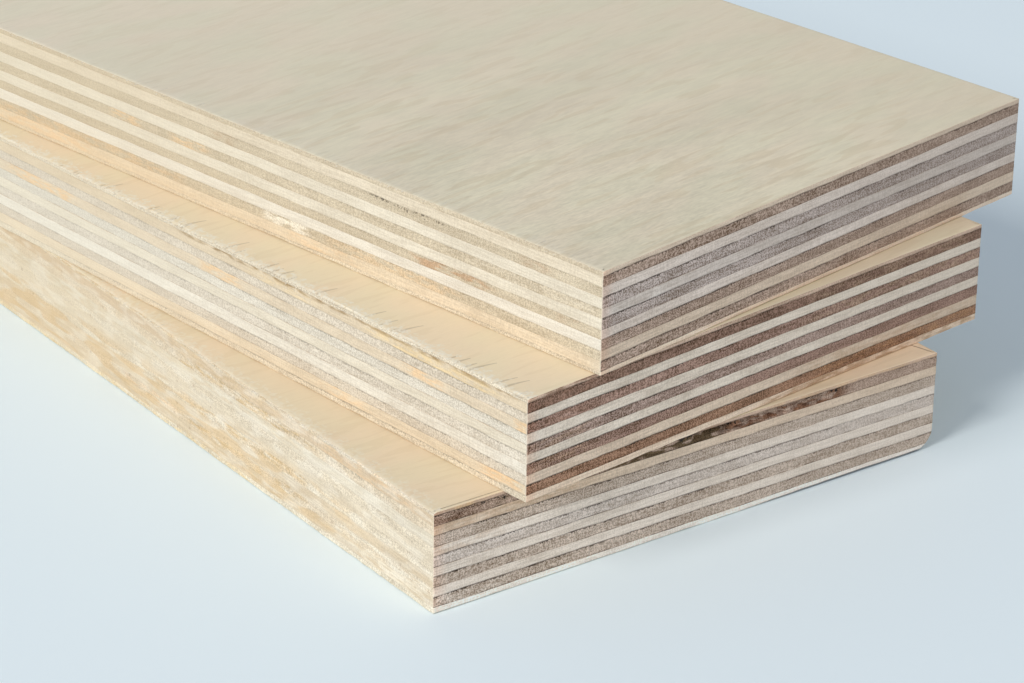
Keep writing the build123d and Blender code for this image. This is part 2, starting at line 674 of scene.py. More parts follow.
def linear(colour):
    """An 8-bit colour as the shader's linear red, green, blue and alpha."""
    parts = [value / 255.0 for value in colour]
    parts = [p / 12.92 if p <= 0.04045 else ((p + 0.055) / 1.055) ** 2.4 for p in parts]
    return (*parts, 1.0)


LEANS = (0.9, 1.0, 1.12)


def shade(colour, amount):
    """A linear colour made darker and browner, or lighter and cooler."""
    parts = [part * (1.0 + (amount - 1.0) * lean) for part, lean in zip(colour, LEANS)]
    return tuple(min(1.0, max(0.0, part)) for part in parts) + (1.0,)


for name, listed in END_TONES.items():
    print(name, "end:", ", ".join(listed.split()))

# %% [markdown]
# ## Wood that knows its grain
#
# The pattern isn't painted on: it is a solid that the saw cuts open. A 3-D noise is stretched
# along the fibres of its ply, so the same recipe gives specks where they are cut across
# and streaks where they lie along the surface. It reads Object coordinates, which a
# Mapping node turns into millimetres in the sheet's own frame. A seed shifts the pattern, so
# no two plies look alike.

# %% Patterns in a sheet's own frame
SEED_STEPS = (7.3, 3.1, 5.7)


def sheet_position(tree, sheet):
    """Millimetres in the sheet's frame: x falls from 0 at the near end, y across, z up."""
    back = Matrix.Rotation(-sheet.turn, 3, "Z")
    values = {"Vector": put(tree, "ShaderNodeTexCoord", {}).outputs["Object"],
              "Location": -(back @ sheet.corner) / MM,
              "Rotation": (0.0, 0.0, -sheet.turn), "Scale": (1 / MM, 1 / MM, 1 / MM)}
    return put(tree, "ShaderNodeMapping", values).outputs["Vector"]


def split(tree, position):
    """The x, y and z of a position, as three outputs."""
    return put(tree, "ShaderNodeSeparateXYZ", {0: position}).outputs


def in_cells(tree, position, sizes, seed):
    """A position counted in cells of the given sizes in mm, and shifted by a seed."""
    values = {0: position, 1: [1.0 / size for size in sizes],
              2: [seed * step for step in SEED_STEPS]}
    return put(tree, "ShaderNodeVectorMath", values, operation="MULTIPLY_ADD").outputs[0]


def lumps(tree, position, sizes, seed, detail=0.0, span=0.2, warp=0.0):
    """Noise from 0 to 1, with lumps of the given sizes in mm along x, y and z."""
    values = {"Vector": in_cells(tree, position, sizes, seed), "Scale": 1.0,
              "Detail": detail, "Distortion": warp}
    made = put(tree, "ShaderNodeTexNoise", values)
    return fade(tree, made.outputs[0], 0.5 - span, 0.5 + span)


def specks(tree, position, sizes, seed, small, large):
    """Small round spots, 1 inside a spot, one in about every cell of the given size."""
    values = {"Vector": in_cells(tree, position, sizes, seed), "Scale": 1.0}
    made = put(tree, "ShaderNodeTexVoronoi", values)
    return fade_out(tree, made.outputs["Distance"], small, large)


def mixed(tree, parts):
    """Adds patterns up, each with its weight. parts is a list of (pattern, weight)."""
    total = 0.0
    for pattern, weight in parts:
        total = calc(tree, "MULTIPLY_ADD", pattern, weight, total)
    return total


def along_fibres(ply, long, fine):
    """Sizes for a pattern that is long along the ply's grain and fine across it."""
    return (fine, long, fine) if ply % 2 == 1 else (long, fine, fine)


print("grain of ply 1:", along_fibres(1, 9.0, 0.2), "of ply 2:", along_fibres(2, 9.0, 0.2))

# %% [markdown]
# ## Glue lines
#
# The glue is a brown film thinner than a hair. It soaks into the open pores of the end grain
# below it, so the line is darkest along the upper edge of every dark stripe, and it comes
# and goes along the edge. Straight lines drawn from the veneers' thicknesses would miss the
# joints, which wander, so the two distances that were kept on the vertices place it exactly
# on the mesh's own wavy line.

# %% Glue line
def glue_line(tree, distance, thin, thick, patches, least):
    """A line next to a glue joint, 1 on the joint, broken up by patches down to least."""
    strength = calc(tree, "MULTIPLY_ADD", patches, 1.0 - least, least)
    return times(tree, fade_out(tree, distance, thin, thick), strength)


# %% [markdown]
# ## Stains
#
# Birch has short runs of warmer, browner wood, and a sawn edge picks up dirt. Some stains are
# wholly or partly painted shade. The olive and soot on bottom end 2 are partly the ply's dark
# wood and partly painted shade, in the gaps of the core and under the middle sheet's overhang.
# The soot on bottom end 11 is a painted shadow line under the worn lower edge. The seam on
# middle side 2 is partly a glue joint and partly painted shade under the torn face veneer.
# Stains spread evenly by a noise would look like a printed film, so each one lies where the
# real stack has it. A table names its sheet, wall and ply, then where it starts and ends, in mm
# from the near corner, its tone and its strength. Written as plain text, it can be read and
# changed by someone who doesn't program.

# %% Where the stains lie
STAIN_TONES = {"rust": (188, 140, 98), "orange": (238, 198, 148), "yellow": (236, 208, 156),
               "brown": (186, 158, 128), "straw": (212, 186, 146), "tan": (196, 160, 126),
               "ember": (132, 95, 72), "olive": (104, 84, 60), "soot": (46, 38, 32),
               "seam": (156, 128, 90), "pale": (238, 228, 208), "snow": (246, 234, 220)}
# Painted shade in this table: the olive and soot on bottom end 2, the soot on bottom end 11 and the
# seam on middle side 2.
STAIN_TABLE = """
    top side 3: 8 16 brown 0.5, 26 46 soot 0.75, 70 77 brown 0.5
    top side 5: -1 26 pale 0.2, 75 86 orange 0.5, 90 99 orange 0.5
    top side 7: 3 9 brown 0.4, 18 37 rust 0.6
    top side 9: 24 54 orange 0.3, 54 66 pale 2.0, 80 130 orange 0.3
    top side 10: 44 62 orange 0.3, 100 140 orange 0.3
    middle side 2: 4 34 yellow 0.6, 40 60 yellow 0.3, 0 76 seam 0.85
    middle side 4: -1 3 orange 0.8, 15 26 orange 0.6, 58 70 orange 0.6, 97 117 orange 0.6
    middle side 10: -1 10 orange 0.7, 30 44 orange 0.35
    bottom side 1: 0 22 orange 0.4, 26 130 straw 0.7
    bottom side 2: 2 30 orange 0.3, 34 70 straw 0.5
    bottom side 3: 8 60 soot 0.3, 26 66 straw 0.9
    bottom side 4: 30 130 straw 0.3
    bottom side 7: 28 66 straw 0.9
    bottom side 9: -2 26 pale 0.8, 28 64 straw 1.0, 62 82 orange 0.4
    bottom side 10: -2 22 pale 0.6, 33 60 straw 0.6, 64 84 straw 0.5
    bottom side 11: 40 130 yellow 0.5
    top end 5: -6 15 snow 0.3
    top end 11: 46 92 snow 0.3
    middle end 1: -4 15 ember 0.8
    middle end 2: -6 15 ember 0.4, 50 90 brown 0.3
    middle end 4: -6 15 ember 0.4, 50 90 brown 0.4
    middle end 6: -6 14 tan 0.3
    middle end 8: -6 14 tan 0.35
    middle end 9: 48 92 tan 0.35
    middle end 10: 52 92 rust 0.45
    middle end 11: 42 92 tan 0.85
    bottom end 1: -6 10 orange 0.8, 10 52 ember 0.4, 54 92 orange 0.4
    bottom end 2: -6 9 ember 0.6, 8 28 olive 1.0, 26 52 olive 2.0, 46 72 ember 1.3
    bottom end 2: 4 24 soot 1.0, 28 72 soot 1.2
    bottom end 3: -4 28 tan 0.5
    bottom end 5: -4 13 tan 0.4
    bottom end 10: -6 14 snow 0.3
    bottom end 11: 52 94 soot 0.6
"""


def read_stains(table):
    """The stains of each ply's wall: where each starts and ends, its tone and its strength."""
    walls = {"end": END_WALL, "side": SIDE_WALL}
    found = {}
    for line in table.strip().splitlines():
        place, listed = line.split(":")
        sheet_name, wall, ply = place.split()
        known = found.setdefault((sheet_name, int(ply), walls[wall]), [])
        for stain in listed.split(","):
            begin, end, tone_name, strength = stain.split()
            known.append((float(begin), float(end), tone_name, float(strength)))
    return found


STAINS = read_stains(STAIN_TABLE)
print("stained stretches:", sum(len(listed) for listed in STAINS.values()))

# %% [markdown]
# ## Lay the stains
#
# A stain fades in and out along the wall, and a slow noise breaks nearly all of them up, so
# that none shows as a straight cut. Soot and a brown seam keep close to a glue line, so those
# two also use the distance to that line. On the long sides the soot is dirt where glue and dust
# collect. On bottom end 2 it is painted shade, and on the lowest ply it is a painted shadow
# line along the bottom edge. The seam is partly a brown glue joint and partly painted shade
# under the torn face veneer. The walls that face away share these materials and stay clean: a
# stain fades out 20 to 40 mm behind the near wall.

# %% Lay stains over a colour
STAIN_RAMP = 5.0
CLEAN_BEHIND = (20.0, 40.0)
SHADED_SEAM_REACH = (0.1, 0.7)
SOOT_AND_SHADE_REACH, SOOT_AND_SHADE_SHIFT = 0.3, 0.45
# Height and reach of the painted shadow line along the bottom edge of the lowest ply.
EDGE_SHADOW_REACH, EDGE_SHADOW_SHIFT = 0.2, 0.05


def stained(tree, colour, sheet, ply, wall, along, behind, position, distance):
    """Lays the sheet's stains, some of them painted shade, over a colour. Soot stays near a line.

    behind is how far a spot lies behind the near wall. The far wall shares the material, and
    gets no stains.
    """
    stains = STAINS.get((sheet.name, ply, wall), ())
    if not stains:
        return colour
    seen = fade_out(tree, behind, *CLEAN_BEHIND)
    cloud = lumps(tree, position, (2.2, 2.2, 0.5), 7.0 + ply, detail=1.0, span=0.16)
    cloud = times(tree, cloud, seen)
    for start, end, tone_name, strength in stains:
        ramp = min(STAIN_RAMP, (end - start) / 3)
        into, out = fade(tree, along, start, start + ramp), fade_out(tree, along, end - ramp, end)
        amount = times(tree, times(tree, into, out), strength)
        # The seam: a soft brown band under the joint below the torn face veneer, partly the joint's
        # own colour and partly painted shade.
        if tone_name == "seam":
            line = times(tree, fade_out(tree, distance, *SHADED_SEAM_REACH), cloud)
            amount = times(tree, amount, line, clamp=True)
        # On the lowest ply the soot is a painted shadow: a dark line along the bottom edge, where
        # the worn edge stands off the floor.
        elif tone_name == "soot" and ply == PLIES:
            line = calc(tree, "SUBTRACT", distance, EDGE_SHADOW_SHIFT)
            line = times(tree, fade_out(tree, line, 0.0, EDGE_SHADOW_REACH), seen)
            amount = times(tree, amount, line, clamp=True)
        # Soot by a glue line: dirt on the long sides, painted shade on bottom end 2.
        elif tone_name == "soot":
            crumbs = lumps(tree, position, (0.4, 0.4, 0.9), 9.0, detail=1.0)
            line = calc(tree, "MULTIPLY_ADD", crumbs, -1.0, distance)
            line = calc(tree, "ADD", line, SOOT_AND_SHADE_SHIFT)
            line = times(tree, fade_out(tree, line, 0.0, SOOT_AND_SHADE_REACH), cloud)
            amount = times(tree, amount, line, clamp=True)
        else:
            amount = times(tree, amount, cloud)
        colour = blend(tree, amount, colour, linear(STAIN_TONES[tone_name]))
    return colour


print("stains are gone", CLEAN_BEHIND[1], "mm behind the near wall")

# %% [markdown]
# ## End grain and long grain
#
# End grain shows coarse specks, dark pores, faint rings that run nearly level, because the
# veneer was peeled round the log, and short upright rays. Long grain shows fine streaks and
# the faint upright marks of the saw's teeth. One noise alone would look like sand, so each
# figure is a sum of a few noises of the right sizes, every one with its own weight.

# %% Figures of the two kinds of grain
PORES_SHOWN = {END_WALL: 0.45, SIDE_WALL: 0.16}


def end_grain_figure(tree, position, seed, wall):
    """Specks, rings, rays and dark pores where the fibres are cut across."""
    grit = lumps(tree, position, (0.19, 0.19, 0.19), seed, span=0.12)
    rings = lumps(tree, position, (5.0, 5.0, 0.34), seed + 7.0, span=0.16, warp=0.5)
    rays = lumps(tree, position, (0.34, 0.34, 2.2), seed + 9.0, span=0.16)
    cloud = lumps(tree, position, (9.0, 9.0, 3.0), seed + 3.0)
    figure = mixed(tree, ((grit, 0.48), (rings, 0.20), (rays, 0.14), (cloud, 0.18)))
    pores = specks(tree, position, (0.55, 0.55, 0.55), seed, 0.16, 0.32)
    return figure, grit, times(tree, pores, PORES_SHOWN[wall])


def long_grain_figure(tree, position, ply, seed, wall):
    """Streaks along the fibres and a fine nap, crossed by a few thin marks of the saw."""
    streaks = lumps(tree, position, along_fibres(ply, 4.0, 0.22), seed, span=0.14)
    nap = lumps(tree, position, (0.22, 0.22, 0.22), seed + 6.0, span=0.14)
    cloud = lumps(tree, position, (9.0, 9.0, 3.0), seed + 3.0)
    teeth = (3.0, 0.2, 6.0) if wall == END_WALL else (0.2, 3.0, 6.0)
    marks = fade(tree, lumps(tree, position, teeth, seed + 9.0), 0.7, 1.0)
    figure = mixed(tree, ((streaks, 0.36), (nap, 0.38), (cloud, 0.30), (marks, -0.16)))
    return figure, nap


print("pores shown on the ends and on the long sides:", list(PORES_SHOWN.values()))

# %% [markdown]
# ## The coarse saw
#
# The long side of the bottom sheet was cut by a coarser saw than the rest. It smeared tan wood
# along the lower half, scuffed the wall white in places and left small dark specks. These lie
# over all the layers alike, so they are laid over each ply's own wood and read the same
# position in the sheet, and run on from one ply into the next.

# %% Marks of the coarse saw
SCUFF_TONE, SMEAR_TONE = linear((238, 230, 214)), linear((218, 190, 148))
DOT_TONE = linear((160, 128, 98))
SCUFFS_SHOWN, SMEARS_SHOWN, DOTS_SHOWN = 0.35, 0.55, 0.3
SMEARED_BAND = {"lower edge": (0.5, 1.8), "upper edge": (6.0, 8.5), "start": (8.0, 30.0)}


def rough_sawn(tree, colour, position, along):
    """What a coarse saw leaves on one side: long tan smears low down, white scuffs, specks."""
    height = split(tree, position)["Z"]
    scuffs = lumps(tree, position, (5.0, 5.0, 1.5), 31.0, detail=1.0, span=0.16)
    smears = lumps(tree, position, (9.0, 9.0, 1.4), 33.0, detail=1.0, span=0.16)
    dots = specks(tree, position, (2.8, 2.8, 2.8), 35.0, 0.05, 0.12)
    low = calc(tree, "SUBTRACT", 1.05, fade(tree, height, *SMEARED_BAND["upper edge"]))
    low = times(tree, low, fade(tree, height, *SMEARED_BAND["lower edge"]))
    low = times(tree, low, fade(tree, along, *SMEARED_BAND["start"]))
    smears = times(tree, fade(tree, smears, 0.4, 0.8), low)
    scuffs = times(tree, fade(tree, scuffs, 0.3, 1.0), SCUFFS_SHOWN)
    colour = blend(tree, scuffs, colour, SCUFF_TONE)
    colour = blend(tree, times(tree, smears, SMEARS_SHOWN), colour, SMEAR_TONE)
    return blend(tree, times(tree, dots, DOTS_SHOWN), colour, DOT_TONE)


print("smears lie between these heights in mm:", SMEARED_BAND["lower edge"][0],
      SMEARED_BAND["upper edge"][1])

# %% [markdown]
# ## Tones that drift along a wall
#
# The sawn walls are made a little darker, and the long sides browner, with the distance from
# the near corner. Two factors, one for the near end of a wall and one for its far end, are
# blended by the distance along it and multiplied over the wood. Multiplying keeps the grain,
# which painting over would hide. The strength of the grain itself falls in the same stretch.

# %% Changes along a wall
FAR_PART = {END_WALL: (5.0, 90.0), SIDE_WALL: (30.0, 110.0)}
CALM = {END_WALL: 0.4, SIDE_WALL: 0.6}


def grey(level):
    """A neutral factor for a colour."""
    return (level, level, level, 1.0)


WALL_DRIFT = {
    ("top", END_WALL): (grey(1.05), grey(0.92)),
    ("middle", END_WALL): (grey(1.04), grey(0.94)),
    ("bottom", END_WALL): (grey(1.02), grey(0.97)),
    ("top", SIDE_WALL): (grey(1.0), (0.97, 0.95, 0.91, 1.0)),
    ("middle", SIDE_WALL): (grey(1.0), (0.99, 0.99, 0.98, 1.0)),
    ("bottom", SIDE_WALL): (grey(1.0), (0.96, 0.94, 0.90, 1.0)),
}


def wall_places(tree, sheet, wall):
    """The position in the sheet, the distance along the wall, and how far behind it."""
    position = sheet_position(tree, sheet)
    axes = split(tree, position)
    across, lengthwise = axes["Y"], times(tree, axes["X"], -1.0)
    if wall == SIDE_WALL:
        return position, lengthwise, across
    return position, across, lengthwise


def figured(tree, colour, figure, contrast):
    """Darkens and lightens a colour with a pattern, browner where darker."""
    darkest = [1.0 - contrast * lean for lean in LEANS]
    lightest = [1.0 + contrast * lean for lean in LEANS]
    light = blend(tree, figure, (*darkest, 1.0), (*lightest, 1.0))
    return blend(tree, 1.0, colour, light, "MULTIPLY")


print("factors at the far end of each wall:",
      {name: factors[1][:3] for name, factors in WALL_DRIFT.items()})

# %% [markdown]
# ## The sawn edges
#
# One recipe makes every sawn wall: the ply's own tone, its stains, the figure of its grain,
# the glue lines and a pale strip at the near corner, a painted highlight where the rounded
# corner catches the light. The same patterns drive the colour, the roughness and a very
# shallow bump, a few hundredths of a millimetre deep, on top of the real unevenness of the
# mesh. They calm down a little with the distance from the near corner, where the saw ran more
# smoothly.

# %% Material for a sawn wall
GLUE_TONE, CORNER_HIGHLIGHT_TONE = linear((58, 44, 33)), linear((236, 222, 200))
CORNER_BLUSH, BLUSH_REACH = (1.08, 0.97, 0.92, 1.0), (0.3, 2.6)
CORNER_HIGHLIGHT_SHOWN, CORNER_HIGHLIGHT_REACH = 0.55, (0.08, 0.30)
BUMP_STRENGTH, BUMP_DEPTH = 0.6, 0.04 * MM
END_CONTRAST = {"top": 0.78, "middle": 0.86, "bottom": 0.60}
SIDE_CONTRAST = 0.28
STREAK_CONTRAST = {END_WALL: 0.22, SIDE_WALL: 0.15}
OWN_CONTRAST = {("middle", 1, SIDE_WALL): 0.36, ("top", 1, SIDE_WALL): 0.21,
                ("middle", 1, END_WALL): 0.42,
                ("bottom", 2, END_WALL): 0.80, ("bottom", 6, END_WALL): 0.42}
GLUE_SHOWN = {"top": 0.20, "middle": 0.42, "bottom": 0.06}
LOW_LINE_SHOWN = {"top": 0.5, "middle": 0.5, "bottom": 0.9}


def sawn_material(sheet, ply, wall):
    """The material of one wall of one veneer."""
    on_end = wall == END_WALL
    tones = END_TONES if on_end else SIDE_TONES
    tone = linear(TONES[tones[sheet.name].split()[ply - 1]])
    seed = SEEDS[sheet.name] + 1.7 * ply + 20.0 * wall
    material, tree, shader = new_material(f"{sheet.name}_ply_{ply:02d}_wall_{wall}")
    position, along, behind = wall_places(tree, sheet, wall)
    rise = put(tree, "ShaderNodeAttribute", {}, attribute_name="rise").outputs["Fac"]
    drop = put(tree, "ShaderNodeAttribute", {}, attribute_name="drop").outputs["Fac"]
    patches = lumps(tree, position, (3.2, 3.2, 2.0), seed + 5.0, detail=1.0, span=0.14)
    glued_above, glued_below = float(ply > 1), float(ply < PLIES)
    if is_end_grain(ply, wall):
        figure, fine, pores = end_grain_figure(tree, position, seed, wall)
        contrast = END_CONTRAST[sheet.name] if on_end else SIDE_CONTRAST
        drop = calc(tree, "MULTIPLY_ADD", fine, 0.14, calc(tree, "SUBTRACT", drop, 0.07))
        low_line = glue_line(tree, rise, 0.04, 0.16, patches, 0.0)
        high_line = glue_line(tree, drop, 0.08, 0.24, patches, 0.3)
        low_shown = LOW_LINE_SHOWN[sheet.name] * glued_below
        glue = mixed(tree, ((low_line, low_shown), (high_line, glued_above)))
    else:
        figure, fine = long_grain_figure(tree, position, ply, seed, wall)
        contrast = STREAK_CONTRAST[wall]
        pores = 0.0
        low_line = glue_line(tree, rise, 0.05, 0.16, patches, 0.3)
        high_line = glue_line(tree, drop, 0.0, 0.08, patches, 0.0)
        glue = mixed(tree, ((low_line, 0.8 * glued_below), (high_line, 0.3 * glued_above)))
    contrast = OWN_CONTRAST.get((sheet.name, ply, wall), contrast)
    far = fade(tree, along, *FAR_PART[wall])
    calm = calc(tree, "MULTIPLY_ADD", far, -CALM[wall], 1.0)
    figure = calc(tree, "MULTIPLY_ADD", calc(tree, "SUBTRACT", figure, 0.5), calm, 0.5)
    distance = rise if ply == PLIES else drop
    colour = stained(tree, tone, sheet, ply, wall, along, behind, position, distance)
    if sheet.name == "bottom" and not on_end:
        colour = rough_sawn(tree, colour, position, along)
    colour = figured(tree, colour, figure, contrast)
    drift = blend(tree, far, *WALL_DRIFT[sheet.name, wall])
    if on_end:
        drift = blend(tree, fade(tree, along, *BLUSH_REACH), CORNER_BLUSH, drift)
    colour = blend(tree, 1.0, colour, drift, "MULTIPLY")
    colour = blend(tree, times(tree, pores, calm), colour, shade(tone, 0.30))
    shown = 1.0 if on_end else GLUE_SHOWN[sheet.name]
    glue = times(tree, times(tree, glue, shown), calm, clamp=True)
    colour = blend(tree, glue, colour, GLUE_TONE)
    # A pale strip on the rounded near corner: a painted highlight where it catches the light.
    worn = calc(tree, "SUBTRACT", CORNER_HIGHLIGHT_SHOWN, fade(tree, along, *CORNER_HIGHLIGHT_REACH), clamp=True)
    colour = blend(tree, worn, colour, CORNER_HIGHLIGHT_TONE)
    values = {"Strength": BUMP_STRENGTH, "Distance": BUMP_DEPTH, "Height": fine}
    bump = put(tree, "ShaderNodeBump", values).outputs["Normal"]
    roughness = calc(tree, "MULTIPLY_ADD", figure, 0.16, 0.72)
    feed(tree, shader, {"Base Color": colour, "Roughness": roughness,
                        "Specular IOR Level": 0.2, "Normal": bump})
    return material


print("glue lines shown on the long sides:", GLUE_SHOWN)

# %% [markdown]
# ## Cracks and fringe
#
# Along a torn edge the saw has opened hair cracks that run in from the edge for some
# millimetres, and it has left a whitish fringe of lifted fibres. Both are finer than the mesh,
# so they are part of the material. The cracks are drawn as dark lines, painted shade for the
# shadow inside each narrow crack. A Voronoi pattern in one dimension cuts the edge into cells,
# and each cell draws the length of its own crack, which bends a little and grows thinner
# towards its end. Noise makes the fringe ragged.

# %% Cracks and fringe by a torn edge
CRACKS_PER_MM, LONGEST_CRACK, SHORTEST_CRACK = 0.6, 4.6, 0.3
CRACK_SHADE_TONE, TORN_TONE = linear((140, 122, 96)), linear((237, 230, 211))
CRACKED, CRACKS_SHOWN = {"bottom": 0.10, "middle": 1.0, "top": 0.2}, 0.5
TORN_SHOWN = {"bottom": 0.50, "middle": 1.0, "top": 0.20}
FRINGE_RAGGED, FRINGE = -2.4, (-0.4, 0.9)


def hair_cracks(tree, x, y, amount):
    """Painted shade in hair cracks from the near long edge, y being the distance from it."""
    bend = times(tree, y, calc(tree, "MULTIPLY_ADD", y, 0.03, 0.05))
    values = {"W": calc(tree, "ADD", bend, x), "Scale": CRACKS_PER_MM}
    cells = put(tree, "ShaderNodeTexVoronoi", values, voronoi_dimensions="1D").outputs
    draw = put(tree, "ShaderNodeSeparateColor", {0: cells["Color"]}).outputs[0]
    flock = lumps(tree, x, (7.0, 7.0, 7.0), 8.0, span=0.06)
    reach = times(tree, calc(tree, "POWER", draw, 1.5), LONGEST_CRACK)
    reach = calc(tree, "MULTIPLY_ADD", reach, flock, SHORTEST_CRACK)
    left = calc(tree, "SUBTRACT", 1.0, calc(tree, "DIVIDE", y, reach), clamp=True)
    width = calc(tree, "MULTIPLY_ADD", left, 0.22, 0.08)
    line = calc(tree, "DIVIDE", cells["Distance"], width)
    line = calc(tree, "SUBTRACT", 1.0, line, clamp=True)
    line = times(tree, line, calc(tree, "GREATER_THAN", left, 0.001))
    return times(tree, line, amount)


def torn_rim(tree, colour, sheet, position, axes, seed):
    """Lays the cracks' painted shade and the fringe by the near long edge over a face's colour."""
    cracks = hair_cracks(tree, times(tree, axes["X"], -1.0), axes["Y"], CRACKED[sheet.name])
    colour = blend(tree, times(tree, cracks, CRACKS_SHOWN), colour, CRACK_SHADE_TONE)
    nap = lumps(tree, position, (0.8, 0.8, 1.0), seed + 12.0, detail=1.0)
    mottle = lumps(tree, position, (0.3, 0.4, 1.0), seed + 13.0)
    depth = calc(tree, "MULTIPLY_ADD", nap, FRINGE_RAGGED, axes["Y"])
    torn = fade_out(tree, depth, *FRINGE)
    torn = times(tree, torn, calc(tree, "MULTIPLY_ADD", mottle, 0.7, 0.3))
    return blend(tree, times(tree, torn, TORN_SHOWN[sheet.name]), colour, TORN_TONE)


print(f"cracks reach up to {LONGEST_CRACK + SHORTEST_CRACK:.1f} mm in from the edge")

# %% [markdown]
# ## The sanded face
#
# The two outer veneers are peeled from the log like paper from a roll and then sanded. What
# is left is quiet: fine fibres all running across the sheet, a few long honey-coloured
# flecks, and slow clouds of light and dark. The top face is liveliest by its near corner.
# The underside of the bottom sheet is painted dark along the far part of its near end, where
# the edge is worn off the floor: painted shade in the gap under it. Fine and broad patterns
# are kept apart, because the broad ones reach further over the sheet before they calm down.

# %% Material for a sanded face
FACE_TONES = {"bottom": (231, 214, 184), "middle": (234, 218, 188), "top": (229, 218, 192)}
# The middle face grows a little darker and the top face lighter with the distance along the sheet.
# The bottom face is painted lighter and warmer across its far strip, 45 to 80 mm across the sheet:
# painted light on a strip that the sheets above leave in shade.
FACE_DRIFT = {
    "bottom": ("Y", 45.0, 80.0, grey(1.0), (1.12, 1.05, 1.04, 1.0)),
    "middle": ("X", 0.0, -250.0, grey(1.02), grey(0.97)),
    "top": ("X", 0.0, -200.0, (0.97, 0.97, 0.965, 1.0), (1.09, 1.09, 1.13, 1.0)),
}
FINE_CONTRAST = {"bottom": (0.009, 0.002), "middle": (0.009, 0.002), "top": (0.013, 0.057)}
BROAD_CONTRAST = {"bottom": (0.009, 0.002), "middle": (0.009, 0.002), "top": (0.024, 0.044)}
FINE_REACH, BROAD_REACH = (20.0, 70.0), (50.0, 100.0)
FLECKED = {"bottom": (0.14, 0.0), "middle": (0.14, 0.0), "top": (0.09, 0.14)}
FLECK_TONE = linear((206, 184, 146))
# Where the underside is painted dark: painted shade under the worn lower edge.
UNDER_EDGE_SHADE_DEPTH, UNDER_EDGE_SHADE_ALONG = (-1.2, -0.7), (50.0, 64.0)
FACE_TINTS = (1.012, 0.994, 0.994, 1.0), (0.988, 1.006, 0.994, 1.0)


def calmed(tree, far, amounts):
    """The least amount of a pattern where far is 1, and more of it towards the near corner."""
    least, more = amounts
    return calc(tree, "MULTIPLY_ADD", far, -more, least + more)


def sanded_material(sheet, side):
    """The face or the back of a sheet."""
    seed = SEEDS[sheet.name] + (0.0 if side == "face" else 60.0)
    tone = linear(FACE_TONES[sheet.name])
    material, tree, shader = new_material(f"{sheet.name}_{side}_sanded")
    position = sheet_position(tree, sheet)
    axes = split(tree, position)
    fibres = lumps(tree, position, (0.28, 1.8, 1.0), seed, detail=1.0)
    grit = lumps(tree, position, (0.3, 0.8, 1.0), seed + 3.0)
    threads = lumps(tree, position, (1.1, 6.0, 1.0), seed + 2.0, detail=1.0, warp=0.4)
    clouds = lumps(tree, position, (13.0, 45.0, 9.0), seed + 4.0)
    flecks = lumps(tree, position, (1.1, 8.0, 2.0), seed + 8.0, warp=0.4)
    flecks = fade(tree, flecks, 0.80, 1.0)
    fine = mixed(tree, ((fibres, 1.28), (grit, 0.72), (1.0, -1.0)))
    broad = mixed(tree, ((threads, 1.04), (clouds, 0.96), (1.0, -1.0)))
    away = put(tree, "ShaderNodeVectorMath", {0: position}, operation="LENGTH").outputs["Value"]
    shown = calmed(tree, fade(tree, away, *FINE_REACH), FINE_CONTRAST[sheet.name])
    light = calc(tree, "MULTIPLY_ADD", fine, shown, 1.0)
    far_off = fade(tree, away, *BROAD_REACH)
    shown = calmed(tree, far_off, BROAD_CONTRAST[sheet.name])
    light = calc(tree, "MULTIPLY_ADD", broad, shown, light)
    flecks = times(tree, flecks, calmed(tree, far_off, FLECKED[sheet.name]))
    colour = blend(tree, 1.0, tone, light, "MULTIPLY")
    tint = lumps(tree, position, (6.0, 12.0, 6.0), seed + 6.0)
    colour = blend(tree, 1.0, colour, blend(tree, tint, *FACE_TINTS), "MULTIPLY")
    axis, start, end, near, far = FACE_DRIFT[sheet.name]
    drift = blend(tree, fade(tree, axes[axis], start, end), near, far)
    colour = blend(tree, 1.0, colour, drift, "MULTIPLY")
    colour = blend(tree, flecks, colour, FLECK_TONE)
    if side == "face":
        colour = torn_rim(tree, colour, sheet, position, axes, seed)
    elif sheet.name == "bottom":
        # Painted shade on the underside's rim, under the worn lower edge.
        under_edge_shade = times(tree, fade(tree, axes["X"], *UNDER_EDGE_SHADE_DEPTH), fade(tree, axes["Y"], *UNDER_EDGE_SHADE_ALONG))
        colour = blend(tree, under_edge_shade, colour, linear(STAIN_TONES["soot"]))
    roughness = calc(tree, "MULTIPLY_ADD", fine, -0.05, 0.57)
    feed(tree, shader, {"Base Color": colour, "Roughness": roughness, "Specular IOR Level": 0.3})
    return material


print("face tones:", FACE_TONES)

# %% [markdown]
# ## The faces inside the glue joints
#
# Nobody sees the inner faces of the veneers, but each is still a peeled face with glue on
# it, so it gets plain wood with a brown cast and fine grain along its own fibres.

# %% Material for a glued face
GLUED_TONE = linear((190, 160, 122))


def glued_material(sheet, grain):
    """Peeled wood with a film of glue. grain is 1 for odd plies and 2 for even ones."""
    material, tree, shader = new_material(f"{sheet.name}_glued_{grain}")
    position = sheet_position(tree, sheet)
    fibres = along_fibres(grain, 12.0, 0.3)
    fibres = lumps(tree, position, fibres, 5.0 + grain, detail=2.0)
    film = lumps(tree, position, (6.0, 6.0, 6.0), 15.0 + grain, detail=2.0)
    figure = mixed(tree, ((fibres, 0.6), (film, 0.4)))
    colour = blend(tree, figure, shade(GLUED_TONE, 0.8), shade(GLUED_TONE, 1.2))
    roughness = calc(tree, "MULTIPLY_ADD", film, -0.2, 0.7)
    feed(tree, shader, {"Base Color": colour, "Roughness": roughness})
    return material


print("glued tone:", tuple(round(part, 2) for part in GLUED_TONE))

# %% [markdown]
# ## Dress every piece
#
# Torn fibres are dry and bleached, a little lighter than the face they were torn from, and
# one small noise is enough for them. Every veneer then gets three materials, in the order of
# the numbers that its faces were given: its flat faces, its two ends and its two long sides.

